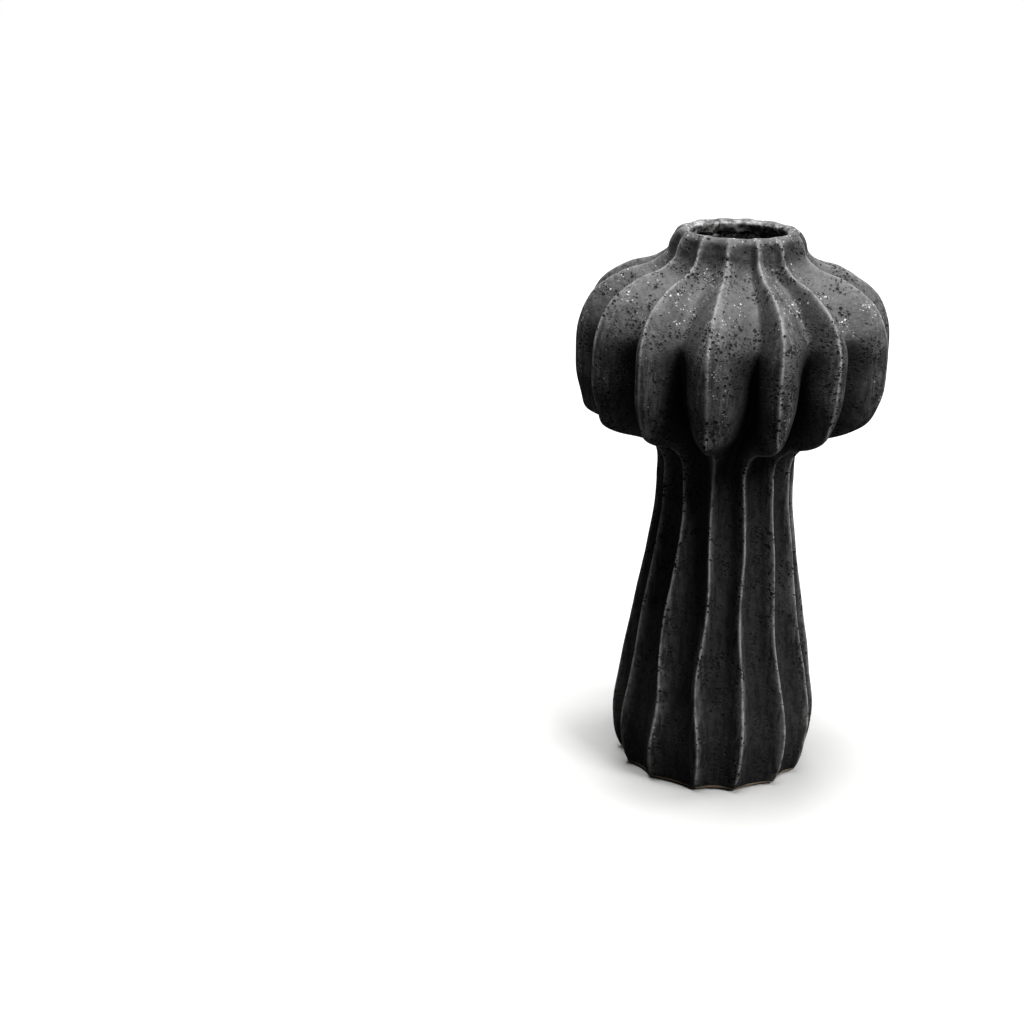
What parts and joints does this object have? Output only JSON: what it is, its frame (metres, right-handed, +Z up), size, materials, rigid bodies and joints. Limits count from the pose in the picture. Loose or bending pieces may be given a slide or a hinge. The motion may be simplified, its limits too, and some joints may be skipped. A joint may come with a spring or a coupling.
{
  "type": "fluted vase",
  "caption": "Tall fluted stoneware vase with a flared ribbed stem, a pleated round head and a short open collar.",
  "frame": {"origin": "on the ground under the middle of the foot", "axes": "+Z up along the vase's own axis; -Y is the front, the side seen in the reference view"},
  "size_m": [0.1928, 0.1916, 0.35],
  "materials": {
    "charcoal_glaze": "matt pitted volcanic glaze, slightly lighter on the crests",
    "raw_clay": "unglazed buff stoneware",
    "luting_clay": "rough dark clay, thinly glazed",
    "felt": "black felt"
  },
  "bodies": {
    "root": {"felt_base_pad": "felt", "base_slab": "raw_clay", "stem_wall": "charcoal_glaze", "head_bowl": "charcoal_glaze", "head_dome": "charcoal_glaze", "collar_neck": "charcoal_glaze", "lip_coil": "charcoal_glaze", "base_seam_coil": "luting_clay", "neck_seam_coil": "luting_clay", "head_seam_coil": "luting_clay"}
  },
  "joints": []
}
